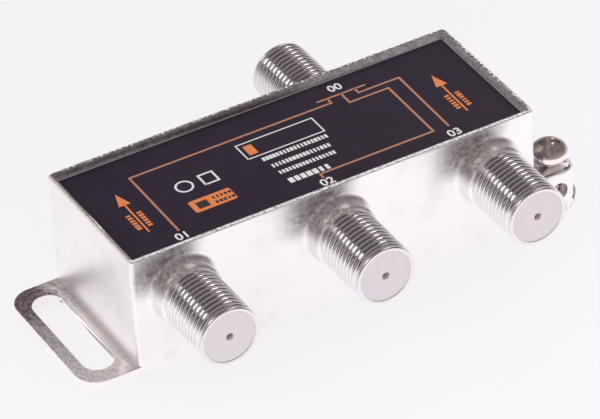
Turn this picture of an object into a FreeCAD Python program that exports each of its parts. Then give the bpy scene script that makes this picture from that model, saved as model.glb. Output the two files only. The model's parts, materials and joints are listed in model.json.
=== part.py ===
import FreeCAD, Part
import math
import os
import re
import Sketcher
from FreeCAD import Placement, Rotation, Vector

os.makedirs("parts", exist_ok=True)
document = FreeCAD.newDocument("coaxial_splitter")

# A three way coaxial splitter: a die cast housing with threaded ports, open below and closed
# by a plate. Origin: centre of the underside. +X runs along the housing towards the earth
# screw, +Y towards the input port, +Z up. Lengths are millimetres, angles degrees.

# Driving dimensions

SIZES = {
    "end_margin": 7.9,
    "body_width": 25.1,
    "body_height": 20.0,
    "body_corner": 0.6,
    "wall_thickness": 1.8,
    "deck_thickness": 1.4,
    "rim_width": 0.65,
    "rim_edge": 0.2,
    "recess_depth": 1.05,
    "recess_lean": 0.15,
    "cavity_corner": 1.5,
    "label_thickness": 0.1,
    "label_gap": 0.1,
    "label_corner": 0.4,
    "cover_thickness": 0.8,
    "cover_inset": 0.15,
    "cover_ledge": 0.8,
    "cover_gap": 0.05,
    "panel_margin": 4.0,
    "panel_depth": 0.3,
    "lug_reach": 8.35,
    "lug_thickness": 1.5,
    "lug_corner": 3.6,
    "slot_offset": 4.0,
    "slot_width": 4.8,
    "slot_end_margin": 2.65,
    "block_reach": 7.4,
    "block_depth": 6.6,
    "block_height": 7.25,
    "block_corner": 2.4,
    "block_edge": 0.5,
    "block_slot_gap": 3.0,
    "earth_offset": 4.25,
    "earth_setback": 3.1,
    "wire_hole_diameter": 3.0,
    "wire_hole_height": 3.8,
    "wire_hole_offset": 0.35,
    "tapped_hole_floor": 0.9,
    "screw_diameter": 3.0,
    "screw_gap": 0.05,
    "screw_lift": 1.15,
    "screw_length": 6.0,
    "screw_tip": 0.4,
    "head_diameter": 5.6,
    "head_side": 1.4,
    "head_dome": 1.25,
    "head_bevel": 1.2,
    "head_crown": 0.25,
    "head_flat": 0.6,
    "drive_width": 0.8,
    "drive_depth": 1.0,
    "drive_length": 3.2,
    "drive_turn": 60.0,
    "port_pitch": 25.1,
    "port_height": 12.5,
    "port_length": 13.5,
    "thread_diameter": 9.5,
    "thread_lead_in": 0.2,
    "collar_diameter": 10.2,
    "collar_length": 2.0,
    "collar_slope": 0.8,
    "flare_reach": 1.8,
    "flare_length": 1.5,
    "mouth_diameter": 8.76,
    "mouth_depth": 0.7,
    "bore_diameter": 7.2,
    "insulator_gap": 0.05,
    "insulator_inset": 0.1,
    "insulator_tail": 0.5,
    "pin_hole_diameter": 1.2,
    "pin_hole_depth": 1.0,
    "contact_width": 2.0,
    "contact_height": 1.6,
    "contact_gap": 0.05,
    "contact_front_gap": 0.3,
    "contact_back_gap": 1.5,
    "contact_base": 1.0,
    "leaf_thickness": 0.3,
    "leaf_mouth": 1.3,
    "grip_gap": 0.8,
    "grip_depth": 1.2,
    "tail_width": 1.2,
    "tail_thickness": 0.5,
    "tail_length": 3.2,
    "board_rise": 0.4,
    "board_thickness": 1.0,
    "board_side_gap": 0.4,
    "board_port_gap": 0.35,
    "board_corner": 1.2,
    "ledge_reach": 2.2,
    "ledge_width": 3.4,
    "core_length": 5.0,
    "core_width": 3.2,
    "core_height": 4.0,
    "core_hole": 1.5,
    "core_hole_pitch": 2.5,
    "core_row": 1.0,
    "winding_thickness": 0.4,
    "winding_height": 1.1,
    "winding_bow": 1.2,
    "winding_corner": 1.0,
    "choke_diameter": 3.8,
    "choke_height": 4.2,
    "choke_flange": 0.6,
    "choke_middle": 1.8,
    "coil_diameter": 3.3,
    "coil_length": 2.6,
    "coil_gap": 0.05,
    "diode_length": 3.6,
    "diode_width": 2.4,
    "diode_height": 2.0,
    "tab_reach": 0.5,
    "tab_width": 1.4,
    "tab_thickness": 0.3,
    "capacitor_length": 2.0,
    "capacitor_width": 1.25,
    "capacitor_height": 0.9,
    "resistor_length": 2.0,
    "resistor_width": 1.25,
    "resistor_height": 0.5,
    "chip_edge": 0.12,
}

sheet = document.addObject("Spreadsheet::Sheet", "sizes")
for row, (alias, number) in enumerate(SIZES.items(), start=1):
    sheet.set("A%d" % row, alias.replace("_", " "))
    sheet.set("B%d" % row, "%g" % number)
    sheet.setAlias("B%d" % row, alias)
document.recompute()

# Places that several pieces share, as formulas on the sheet's names

HALF_LENGTH = "(port_pitch + end_margin)"
HALF_WIDTH = "(body_width / 2)"
INNER_LENGTH = "(port_pitch + end_margin - wall_thickness)"
INNER_WIDTH = "(body_width / 2 - wall_thickness)"
RECESS_FLOOR = "(body_height - recess_depth)"
DECK_UNDERSIDE = "(body_height - recess_depth - deck_thickness)"
COVER_SEAT = "(cover_inset + cover_thickness)"
BOARD_UNDERSIDE = "(port_height + board_rise)"
BOARD_TOP = "(port_height + board_rise + board_thickness)"
BOARD_LENGTH = "(port_pitch + end_margin - wall_thickness - board_side_gap)"
BOARD_WIDTH = "(body_width / 2 - wall_thickness - insulator_tail - board_port_gap)"
EARTH_X = "(port_pitch + end_margin + earth_offset)"
EARTH_Y = "(earth_setback - body_width / 2)"
SLOT_X = "(port_pitch + end_margin + slot_offset)"
SLOT_BACK = "(body_width / 2 - slot_end_margin - slot_width / 2)"
BLOCK_BACK = "(block_depth - body_width / 2)"
PORT_FACE = "(port_length - insulator_inset)"
PLUG_END = "(wall_thickness + insulator_tail)"
CONTACT_END = "(wall_thickness + insulator_tail - contact_back_gap)"
TAIL_END = "(body_width / 2 - wall_thickness - insulator_tail - tail_length)"

# The ports: name, place along X, side of the housing, turn about Z

FRONT_PORTS = (
    ("out_left", "-port_pitch"),
    ("out_middle", "0"),
    ("out_right", "port_pitch"),
)
PORTS = [(name, x, "-" + HALF_WIDTH, 0.0) for name, x in FRONT_PORTS]
PORTS.append(("in", "port_pitch / 2", HALF_WIDTH, 180.0))

# What the board carries in its middle row: name and place along X

CORES = (
    ("input", "3 * port_pitch / 5"),
    ("first", "port_pitch / 4"),
    ("second", "-2 * port_pitch / 5"),
)
RESISTORS = (
    ("first", "5 * port_pitch / 12"),
    ("second", "-port_pitch / 10"),
)


def bound(formula):
    """The formula with each of the sheet's names pointing at its cell."""
    return re.sub(
        r"[a-z_]+",
        lambda word: "sizes." + word.group() if word.group() in SIZES else word.group(),
        formula,
    )


def value(formula):
    """The number that a formula on the sheet's names gives."""
    return float(sheet.evalExpression(bound(formula)))


def bind(item, prop, formula):
    """Tie one property of an object to a formula on the sheet."""
    item.setExpression(prop, bound(formula))


def new_body(name):
    """An empty body whose label is its file's name."""
    body = document.addObject("PartDesign::Body", name)
    body.Label = name
    return body


def origin_item(body, role):
    """One of the body's own planes or axes."""
    return next(item for item in body.Origin.OriginFeatures if item.Role == role)


def new_sketch(body, name, plane="XY_Plane", x="0", y="0", z="0"):
    """A sketch on one of the body's planes, moved by formulas along the sketch's own axes."""
    sketch = body.newObject("Sketcher::SketchObject", name)
    sketch.AttachmentSupport = (origin_item(body, plane), [""])
    sketch.MapMode = "FlatFace"
    for axis, formula in (("x", x), ("y", y), ("z", z)):
        bind(sketch, "AttachmentOffset.Base." + axis, formula)
    return sketch


def tie_point(sketch, item, end, x, y):
    """Hold one point of a sketch at formulas measured from the sketch's origin."""
    for kind, formula in (("DistanceX", x), ("DistanceY", y)):
        number = sketch.addConstraint(Sketcher.Constraint(kind, -1, 1, item, end, value(formula)))
        bind(sketch, "Constraints[%d]" % number, formula)


def tie_radius(sketch, item, formula):
    """Hold the radius of a circle or an arc at a formula."""
    number = sketch.addConstraint(Sketcher.Constraint("Radius", item, value(formula)))
    bind(sketch, "Constraints[%d]" % number, formula)


def draw_circle(sketch, x, y, radius):
    """A full circle."""
    centre = Vector(value(x), value(y), 0)
    item = sketch.addGeometry(Part.Circle(centre, Vector(0, 0, 1), value(radius)))
    tie_point(sketch, item, 3, x, y)
    tie_radius(sketch, item, radius)


def draw_slot(sketch, x, low, high, radius):
    """A slot along the sketch's Y axis, whose round ends are centred at low and high."""
    up = Vector(0, 0, 1)
    side = Vector(value(radius), 0, 0)
    bottom = Vector(value(x), value(low), 0)
    top = Vector(value(x), value(high), 0)
    upper = sketch.addGeometry(Part.ArcOfCircle(Part.Circle(top, up, side.x), 0, math.pi))
    lower = sketch.addGeometry(Part.ArcOfCircle(Part.Circle(bottom, up, side.x), math.pi, 2 * math.pi))
    left = sketch.addGeometry(Part.LineSegment(top - side, bottom - side))
    right = sketch.addGeometry(Part.LineSegment(bottom + side, top + side))
    for before, after in ((upper, left), (left, lower), (lower, right), (right, upper)):
        sketch.addConstraint(Sketcher.Constraint("Tangent", before, 2, after, 1))
    tie_point(sketch, upper, 3, x, high)
    tie_point(sketch, lower, 3, x, low)
    tie_radius(sketch, upper, radius)


def corner_arc(point, back, ahead, radius):
    """The arc that rounds a corner, its first point's number, and where it leaves both lines."""
    half = back.getAngle(ahead) / 2
    reach = radius / math.tan(half)
    centre = point + (back + ahead).normalize() * (radius / math.sin(half))
    arriving, leaving = point + back * reach, point + ahead * reach
    convex = back.cross(ahead).z < 0
    first, last = (arriving, leaving) if convex else (leaving, arriving)
    start = math.atan2(first.y - centre.y, first.x - centre.x)
    stop = math.atan2(last.y - centre.y, last.x - centre.x)
    if stop < start:
        stop += 2 * math.pi
    circle = Part.Circle(centre, Vector(0, 0, 1), radius)
    return Part.ArcOfCircle(circle, start, stop), 1 if convex else 2, arriving, leaving


def draw_outline(sketch, corners):
    """A closed anticlockwise outline through corners (x, y), or (x, y, radius) where rounded."""
    count = len(corners)
    points = [Vector(value(corner[0]), value(corner[1]), 0) for corner in corners]
    arcs, arriving, leaving = {}, list(points), list(points)
    for number, corner in enumerate(corners):
        if len(corner) == 3:
            back = (points[number - 1] - points[number]).normalize()
            ahead = (points[(number + 1) % count] - points[number]).normalize()
            made = corner_arc(points[number], back, ahead, value(corner[2]))
            arcs[number] = made[:2]
            arriving[number], leaving[number] = made[2:]
    lines = [
        sketch.addGeometry(Part.LineSegment(leaving[number], arriving[(number + 1) % count]))
        for number in range(count)
    ]
    for number, corner in enumerate(corners):
        before, after = lines[number - 1], lines[number]
        if number not in arcs:
            sketch.addConstraint(Sketcher.Constraint("Coincident", before, 2, after, 1))
            tie_point(sketch, after, 1, corner[0], corner[1])
            continue
        shape, first = arcs[number]
        arc = sketch.addGeometry(shape)
        sketch.addConstraint(Sketcher.Constraint("Tangent", before, 2, arc, first))
        sketch.addConstraint(Sketcher.Constraint("Tangent", arc, 3 - first, after, 1))
        mark = sketch.addGeometry(Part.Point(points[number]), True)
        sketch.addConstraint(Sketcher.Constraint("PointOnObject", mark, 1, before))
        sketch.addConstraint(Sketcher.Constraint("PointOnObject", mark, 1, after))
        tie_point(sketch, mark, 1, corner[0], corner[1])
        tie_radius(sketch, arc, corner[2])


def draw_rectangle(sketch, half_x, half_y, radius=None):
    """A rectangle about the sketch's origin, its corners rounded if a radius is given."""
    rounding = () if radius is None else (radius,)
    signs = ((-1, -1), (1, -1), (1, 1), (-1, 1))
    draw_outline(sketch, [
        ("%d * (%s)" % (x, half_x), "%d * (%s)" % (y, half_y)) + rounding for x, y in signs
    ])


def add_feature(body, kind, name, sketch, **sizes):
    """A feature made from a sketch; text is a formula on the sheet, anything else a setting."""
    feature = body.newObject("PartDesign::" + kind, name)
    feature.Profile = sketch
    for prop, setting in sizes.items():
        if isinstance(setting, str):
            bind(feature, prop, setting)
        else:
            setattr(feature, prop, setting)
    return feature


def turn_profile(body, kind, name, sketch):
    """A full turn of a sketch about its own upright axis, adding or cutting."""
    return add_feature(body, kind, name, sketch, ReferenceAxis=(sketch, ["V_Axis"]), Angle=360)


def repeat_along_x(body, name, original, length, copies):
    """Copies of a feature in a row along X."""
    pattern = body.newObject("PartDesign::LinearPattern", name)
    pattern.Originals = [original]
    pattern.Direction = (origin_item(body, "X_Axis"), [""])
    bind(pattern, "Length", length)
    pattern.Occurrences = copies
    body.Tip = pattern


def break_edges(body, name, size, wanted):
    """Chamfer the edges of the body so far whose bounds pass a test."""
    document.recompute()
    base = body.Tip
    chosen = [
        "Edge%d" % number
        for number, edge in enumerate(base.Shape.Edges, start=1)
        if wanted(edge.BoundBox)
    ]
    chamfer = body.newObject("PartDesign::Chamfer", name)
    chamfer.Base = (base, chosen)
    bind(chamfer, "Size", size)


def place(body, x="0", y="0", z="0", turn=0.0):
    """Put a body at formulas on the sheet, turned about Z."""
    body.Placement = Placement(Vector(), Rotation(Vector(0, 0, 1), turn))
    for axis, formula in (("x", x), ("y", y), ("z", z)):
        bind(body, "Placement.Base." + axis, formula)


# Die cast housing

NEAR = 0.001
WIRE_HOLE_REACH = "(block_depth * 2)"


def cast_lugs(body):
    """The base plate: a slotted lug at each end, the right slot shorter behind the block."""
    sketch = new_sketch(body, "lug_outline")
    draw_rectangle(sketch, HALF_LENGTH + " + lug_reach", HALF_WIDTH, "lug_corner")
    draw_slot(sketch, "-" + SLOT_X, "-" + SLOT_BACK, SLOT_BACK, "slot_width / 2")
    right_front = BLOCK_BACK + " + block_slot_gap + slot_width / 2"
    draw_slot(sketch, SLOT_X, right_front, SLOT_BACK, "slot_width / 2")
    add_feature(body, "Pad", "lug_plate", sketch, Length="lug_thickness")


def cast_box(body):
    """The box on the plate, its top edges just broken."""
    sketch = new_sketch(body, "box_outline")
    draw_rectangle(sketch, HALF_LENGTH, HALF_WIDTH, "body_corner")
    add_feature(body, "Pad", "box", sketch, Length="body_height")
    top = value("body_height") - NEAR
    break_edges(body, "broken_rim_edge", "rim_edge", lambda bounds: bounds.ZMin > top)


def cast_earth_block(body):
    """The block for the earth wire, flush with the front, its free edges eased at the top."""
    sketch = new_sketch(body, "block_outline")
    outside = HALF_LENGTH + " + block_reach"
    draw_outline(sketch, [
        (INNER_LENGTH, "-" + HALF_WIDTH),
        (outside, "-" + HALF_WIDTH, "block_corner"),
        (outside, BLOCK_BACK, "block_corner"),
        (INNER_LENGTH, BLOCK_BACK),
    ])
    add_feature(body, "Pad", "earth_block", sketch, Length="block_height")
    root, top = value(INNER_LENGTH), value("block_height")

    def free_top_edge(bounds):
        return bounds.ZMin > top - NEAR and bounds.XMax > root + NEAR

    break_edges(body, "eased_block_edge", "block_edge", free_top_edge)


def port_sketch(body, name, x, side):
    """A sketch whose upright axis is a port's axis, with its origin in the wall's face."""
    return new_sketch(body, name, x=x, y="%d * %s" % (side, HALF_WIDTH), z="port_height")


def draw_port_section(sketch, side, corners):
    """Half a port's section: corners are radius and distance out of the wall."""
    turned = [(corner[0], "%d * (%s)" % (side, corner[1])) + corner[2:] for corner in corners]
    draw_outline(sketch, turned if side > 0 else turned[::-1])


def barrel_section(body, name, x, side):
    """A port's barrel: the flare out of the wall, the collar, the thread's land, its lead-in."""
    sketch = port_sketch(body, name, x, side)
    draw_port_section(sketch, side, [
        ("0", "-wall_thickness / 2"),
        ("collar_diameter / 2 + flare_reach", "-wall_thickness / 2"),
        ("collar_diameter / 2 + flare_reach", "0"),
        ("collar_diameter / 2", "flare_length"),
        ("collar_diameter / 2", "collar_length"),
        ("thread_diameter / 2", "collar_length + collar_slope"),
        ("thread_diameter / 2", "port_length - thread_lead_in"),
        ("thread_diameter / 2 - thread_lead_in", "port_length"),
        ("0", "port_length"),
    ])
    return sketch


def bore_section(body, name, x, side):
    """A port's bore, from past its mouth to inside the cavity."""
    sketch = port_sketch(body, name, x, side)
    draw_port_section(sketch, side, [
        ("0", "-wall_thickness * 2"),
        ("bore_diameter / 2", "-wall_thickness * 2"),
        ("bore_diameter / 2", "port_length - mouth_depth"),
        ("mouth_diameter / 2", "port_length - mouth_depth"),
        ("mouth_diameter / 2", "port_length + mouth_depth"),
        ("0", "port_length + mouth_depth"),
    ])
    return sketch


def cast_ports(body):
    """Three barrels along the front and one at the back, half a pitch to the right."""
    front = barrel_section(body, "front_barrel_section", "-port_pitch", -1)
    barrel = turn_profile(body, "Revolution", "front_barrel", front)
    repeat_along_x(body, "front_barrels", barrel, "2 * port_pitch", len(FRONT_PORTS))
    back = barrel_section(body, "back_barrel_section", "port_pitch / 2", 1)
    turn_profile(body, "Revolution", "back_barrel", back)


def bore_ports(body):
    """The stepped bore through each barrel and the wall behind it."""
    front = bore_section(body, "front_bore_section", "-port_pitch", -1)
    bore = turn_profile(body, "Groove", "front_bore", front)
    repeat_along_x(body, "front_bores", bore, "2 * port_pitch", len(FRONT_PORTS))
    back = bore_section(body, "back_bore_section", "port_pitch / 2", 1)
    turn_profile(body, "Groove", "back_bore", back)


def sink_label_recess(body):
    """The shallow tray in the top, which leaves a thin rim with leaning inner walls."""
    sketch = new_sketch(body, "recess_outline", z="body_height")
    draw_rectangle(sketch, HALF_LENGTH + " - rim_width", HALF_WIDTH + " - rim_width")
    add_feature(body, "Pocket", "label_recess", sketch, Length="recess_depth",
                TaperAngle="-atan(recess_lean / recess_depth)")


def hollow_from_below(body):
    """The cavity, and the wider seat that takes the cover plate."""
    cavity = new_sketch(body, "cavity_outline")
    draw_rectangle(cavity, INNER_LENGTH, INNER_WIDTH, "cavity_corner")
    add_feature(body, "Pocket", "cavity", cavity, Length=DECK_UNDERSIDE, Reversed=True)
    seat = new_sketch(body, "seat_outline")
    draw_rectangle(seat, INNER_LENGTH + " + cover_ledge", INNER_WIDTH + " + cover_ledge",
                   "cavity_corner + cover_ledge")
    add_feature(body, "Pocket", "cover_seat", seat, Length=COVER_SEAT, Reversed=True)


def cast_board_ledges(body):
    """A ledge down from the deck in each corner, which the circuit board is held against."""
    sketch = new_sketch(body, "ledge_outline", z=BOARD_TOP)
    for side_x, side_y in ((-1, -1), (1, -1), (1, 1), (-1, 1)):
        end = "%d * (%s + wall_thickness / 2)" % (side_x, INNER_LENGTH)
        start = "%d * (%s - ledge_reach)" % (side_x, INNER_LENGTH)
        outside = "%d * (%s + wall_thickness / 2)" % (side_y, INNER_WIDTH)
        inside = "%d * (%s - ledge_width)" % (side_y, INNER_WIDTH)
        draw_outline(sketch, [(start, inside), (end, inside), (end, outside), (start, outside)])
    reach = "%s - %s + deck_thickness / 2" % (DECK_UNDERSIDE, BOARD_TOP)
    add_feature(body, "Pad", "board_ledges", sketch, Length=reach)


def drill_earth_block(body):
    """The wire hole through the block along Y, and the tapped hole down across it."""
    wire = new_sketch(body, "wire_hole_section", x=EARTH_X + " - wire_hole_offset", y=EARTH_Y,
                      z="wire_hole_height")
    draw_outline(wire, [
        ("0", "-" + WIRE_HOLE_REACH),
        ("wire_hole_diameter / 2", "-" + WIRE_HOLE_REACH),
        ("wire_hole_diameter / 2", WIRE_HOLE_REACH),
        ("0", WIRE_HOLE_REACH),
    ])
    turn_profile(body, "Groove", "wire_hole", wire)
    tapped = new_sketch(body, "tapped_hole_outline", z="block_height")
    draw_circle(tapped, EARTH_X, EARTH_Y, "screw_diameter / 2 + screw_gap")
    add_feature(body, "Pocket", "tapped_hole", tapped, Length="block_height - tapped_hole_floor")


def make_housing():
    """The whole casting in one piece."""
    body = new_body("housing")
    cast_earth_block(body)
    cast_lugs(body)
    cast_box(body)
    cast_ports(body)
    sink_label_recess(body)
    hollow_from_below(body)
    cast_board_ledges(body)
    bore_ports(body)
    drill_earth_block(body)


# Covers

def make_label():
    """The printed film on the floor of the recess."""
    body = new_body("label")
    sketch = new_sketch(body, "label_outline", z=RECESS_FLOOR)
    margin = " - rim_width - recess_lean - label_gap"
    draw_rectangle(sketch, HALF_LENGTH + margin, HALF_WIDTH + margin, "label_corner")
    add_feature(body, "Pad", "film", sketch, Length="label_thickness")


def make_back_cover():
    """The pressed plate that closes the cavity, its middle panel pushed in to stiffen it."""
    body = new_body("back_cover")
    plate = new_sketch(body, "plate_outline", z="cover_inset")
    margin = " + cover_ledge - cover_gap"
    draw_rectangle(plate, INNER_LENGTH + margin, INNER_WIDTH + margin,
                   "cavity_corner + cover_ledge - cover_gap")
    add_feature(body, "Pad", "plate", plate, Length="cover_thickness")
    raised = new_sketch(body, "raised_outline", z=COVER_SEAT)
    draw_rectangle(raised, INNER_LENGTH + " - panel_margin", INNER_WIDTH + " - panel_margin")
    add_feature(body, "Pad", "raised_panel", raised, Length="panel_depth")
    sunk = new_sketch(body, "sunk_outline", z="cover_inset")
    grown = " - panel_margin + panel_depth"
    draw_rectangle(sunk, INNER_LENGTH + grown, INNER_WIDTH + grown)
    add_feature(body, "Pocket", "sunk_panel", sunk, Length="panel_depth", Reversed=True)


# Port inserts, drawn with the port's axis along -Y and the wall's face at the origin

def make_insulator(name, x, y, turn):
    """The plastic plug of a port: a flange in the mouth, a sleeve down the bore, a pin hole."""
    body = new_body("insulator_" + name)
    section = new_sketch(body, "plug_section")
    flange = "mouth_diameter / 2 - insulator_gap"
    sleeve = "bore_diameter / 2 - insulator_gap"
    step = "-(port_length - mouth_depth)"
    draw_outline(section, [
        ("0", "-" + PORT_FACE),
        (flange, "-" + PORT_FACE),
        (flange, step),
        (sleeve, step),
        (sleeve, PLUG_END),
        ("0", PLUG_END),
    ])
    turn_profile(body, "Revolution", "plug", section)
    chamber = new_sketch(body, "chamber_outline", plane="XZ_Plane", z="-" + PLUG_END)
    draw_rectangle(chamber, "contact_width / 2 + contact_gap", "contact_height / 2 + contact_gap")
    add_feature(body, "Pocket", "contact_chamber", chamber, Reversed=True,
                Length=PLUG_END + " + %s - pin_hole_depth" % PORT_FACE)
    hole = new_sketch(body, "pin_hole_outline", plane="XZ_Plane", z=PORT_FACE)
    draw_circle(hole, "0", "0", "pin_hole_diameter / 2")
    add_feature(body, "Pocket", "pin_hole", hole, Length="2 * pin_hole_depth")
    place(body, x, y, "port_height", turn)


def make_contact(name, x, y, turn):
    """The folded clip whose two leaves grip the cable's centre wire, its tail on the board."""
    body = new_body("contact_" + name)
    fork = new_sketch(body, "fork_outline")
    front = "pin_hole_depth + contact_front_gap - " + PORT_FACE
    root, grip, mouth = "contact_width / 2", "grip_gap / 2", "leaf_mouth / 2"
    right = [
        (root, CONTACT_END),
        (grip + " + leaf_thickness", front + " + grip_depth"),
        (mouth + " + leaf_thickness", front),
        (mouth, front),
        (grip, front + " + grip_depth"),
        (root + " - leaf_thickness", CONTACT_END + " - contact_base"),
    ]
    draw_outline(fork, [("-(%s)" % x, y) for x, y in right] + right[::-1])
    pad = add_feature(body, "Pad", "fork", fork, Length="contact_height")
    pad.SideType = "Symmetric"
    strip = new_sketch(body, "tail_outline", z="board_rise - tail_thickness")
    end = "wall_thickness + insulator_tail + tail_length"
    draw_outline(strip, [
        ("-tail_width / 2", CONTACT_END + " - contact_base / 2"),
        ("tail_width / 2", CONTACT_END + " - contact_base / 2"),
        ("tail_width / 2", end),
        ("-tail_width / 2", end),
    ])
    add_feature(body, "Pad", "tail", strip, Length="tail_thickness")
    place(body, x, y, "port_height", turn)


# Earth screw, drawn about its own axis with the block's top at the origin

def make_ground_screw():
    """The pan head screw that clamps the earth wire."""
    body = new_body("ground_screw")
    section = new_sketch(body, "screw_section", plane="XZ_Plane")
    shoulder = "screw_lift + head_side"
    draw_outline(section, [
        ("0", "screw_lift - screw_length"),
        ("screw_diameter / 2 - screw_tip", "screw_lift - screw_length"),
        ("screw_diameter / 2", "screw_lift - screw_length + screw_tip"),
        ("screw_diameter / 2", "screw_lift"),
        ("head_diameter / 2", "screw_lift"),
        ("head_diameter / 2", shoulder),
        ("head_diameter / 2 - head_bevel", shoulder + " + head_dome - head_crown"),
        ("head_flat", shoulder + " + head_dome"),
        ("0", shoulder + " + head_dome"),
    ])
    turn_profile(body, "Revolution", "screw", section)
    drive = new_sketch(body, "drive_outline", z=shoulder + " + head_dome")
    draw_rectangle(drive, "head_diameter", "drive_width / 2")
    add_feature(body, "Pocket", "slot", drive, Length="drive_depth")
    cross = new_sketch(body, "cross_outline", z=shoulder + " + head_dome")
    draw_rectangle(cross, "drive_width / 2", "drive_length / 2")
    add_feature(body, "Pocket", "cross", cross, Length="drive_depth")
    place(body, EARTH_X, EARTH_Y, "block_height", SIZES["drive_turn"])


# Circuit board and what it carries, hung from its underside

def make_circuit_board():
    """The board, held between the ledges and the contacts' tails."""
    body = new_body("circuit_board")
    sketch = new_sketch(body, "board_outline", z=BOARD_UNDERSIDE)
    draw_rectangle(sketch, BOARD_LENGTH, BOARD_WIDTH, "board_corner")
    add_feature(body, "Pad", "board", sketch, Length="board_thickness")


def make_core(name, x):
    """A ferrite block with two holes along Y."""
    body = new_body(name + "_core")
    sketch = new_sketch(body, "core_outline", plane="XZ_Plane", y="-core_height / 2")
    draw_rectangle(sketch, "core_length / 2", "core_height / 2")
    for side in (-1, 1):
        draw_circle(sketch, "%d * core_hole_pitch / 2" % side, "0", "core_hole / 2")
    pad = add_feature(body, "Pad", "core", sketch, Length="core_width")
    pad.SideType = "Symmetric"
    place(body, x, "core_row", BOARD_UNDERSIDE)


def make_winding(name, x):
    """The bundle of wire that loops through both holes of a core."""
    body = new_body(name + "_winding")
    outline = new_sketch(body, "loop_outline", z="-core_height / 2")
    inner_x = "(core_hole_pitch - winding_thickness) / 2"
    inner_y = "core_width / 2 + winding_bow"
    draw_rectangle(outline, inner_x + " + winding_thickness", inner_y + " + winding_thickness",
                   "winding_corner")
    draw_rectangle(outline, inner_x, inner_y)
    pad = add_feature(body, "Pad", "loop", outline, Length="winding_height")
    pad.SideType = "Symmetric"
    place(body, x, "core_row", BOARD_UNDERSIDE)


def make_choke(side_name, side):
    """A drum of ferrite on end, and the coil wound on it."""
    x = "%d * 5 * port_pitch / 6" % side
    core = new_body("choke_core_" + side_name)
    drum = new_sketch(core, "drum_section", plane="XZ_Plane")
    draw_outline(drum, [
        ("0", "-choke_height"),
        ("choke_diameter / 2", "-choke_height"),
        ("choke_diameter / 2", "choke_flange - choke_height"),
        ("choke_middle / 2", "choke_flange - choke_height"),
        ("choke_middle / 2", "-choke_flange"),
        ("choke_diameter / 2", "-choke_flange"),
        ("choke_diameter / 2", "0"),
        ("0", "0"),
    ])
    turn_profile(core, "Revolution", "drum", drum)
    place(core, x, "core_row", BOARD_UNDERSIDE)

    coil = new_body("choke_coil_" + side_name)
    wire = new_sketch(coil, "coil_section", plane="XZ_Plane")
    inner, outer = "choke_middle / 2 + coil_gap", "coil_diameter / 2"
    low, high = ("(%scoil_length - choke_height) / 2" % sign for sign in ("-", ""))
    draw_outline(wire, [(inner, low), (outer, low), (outer, high), (inner, high)])
    turn_profile(coil, "Revolution", "coil", wire)
    place(coil, x, "core_row", BOARD_UNDERSIDE)


def make_diode(side_name, side):
    """A moulded diode lying along Y, with a flat tab at each end."""
    body = new_body("diode_" + side_name)
    block = new_sketch(body, "diode_outline", z="-diode_height")
    draw_rectangle(block, "diode_width / 2", "diode_length / 2")
    add_feature(body, "Pad", "block", block, Length="diode_height")
    tabs = new_sketch(body, "tab_outline", z="-tab_thickness")
    draw_rectangle(tabs, "tab_width / 2", "diode_length / 2 + tab_reach")
    add_feature(body, "Pad", "tabs", tabs, Length="tab_thickness")
    place(body, "%d * port_pitch" % side, "core_row", BOARD_UNDERSIDE)


def make_chip(name, kind, x, y, along_y):
    """A small block on the board with broken edges, such as a capacitor or a resistor."""
    body = new_body(name)
    sketch = new_sketch(body, "chip_outline", z="-%s_height" % kind)
    halves = ["%s_length / 2" % kind, "%s_width / 2" % kind]
    draw_rectangle(sketch, *(halves[::-1] if along_y else halves))
    add_feature(body, "Pad", "chip", sketch, Length="%s_height" % kind)
    break_edges(body, "broken_chip_edge", "chip_edge", lambda bounds: True)
    place(body, x, y, BOARD_UNDERSIDE)


def make_board_parts():
    """Three wound cores, a choke and a diode for each end port, and the chips."""
    for name, x in CORES:
        make_core(name, x)
        make_winding(name, x)
    for side_name, side in (("left", -1), ("right", 1)):
        make_choke(side_name, side)
        make_diode(side_name, side)
    for name, x, y, turn in PORTS:
        side = 1 if turn else -1
        core_edge = "%d * core_row + core_width / 2" % side
        chip_y = "%d * (%s + %s) / 2" % (side, TAIL_END, core_edge)
        make_chip("capacitor_" + name, "capacitor", x, chip_y, True)
    for name, x in RESISTORS:
        make_chip(name + "_resistor", "resistor", x, "core_row", True)


def write_parts():
    """Check every object, then write one file for each body."""
    document.recompute()
    for item in document.Objects:
        if "Invalid" in item.State or "Error" in item.State:
            raise RuntimeError("%s did not build: %s" % (item.Name, item.State))
    bodies = [item for item in document.Objects if item.TypeId == "PartDesign::Body"]
    for body in bodies:
        shape = body.Shape
        if shape.isNull() or not shape.isValid() or len(shape.Solids) != 1:
            raise RuntimeError("%s is not one valid solid" % body.Label)
    for body in bodies:
        body.Shape.exportStep("parts/%s.step" % body.Label)


make_housing()
make_label()
make_back_cover()
for port in PORTS:
    make_insulator(*port)
    make_contact(*port)
make_ground_screw()
make_circuit_board()
make_board_parts()
write_parts()
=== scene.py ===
"""Looks of a coaxial splitter, built around its packed CAD frame.

A nickel plated casting with four threaded ports, a printed film sunk in its top, plastic plugs
with pin holes, and an earth screw on its block. Lengths are millimetres, times MM where Blender
takes them; the panel's settings, the floor and the lamps are metres.
"""

import json
import math
from functools import partialmethod

import bmesh
import bpy
from bpy.props import FloatProperty, FloatVectorProperty, IntProperty, PointerProperty
from mathutils import Matrix, Vector


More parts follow.
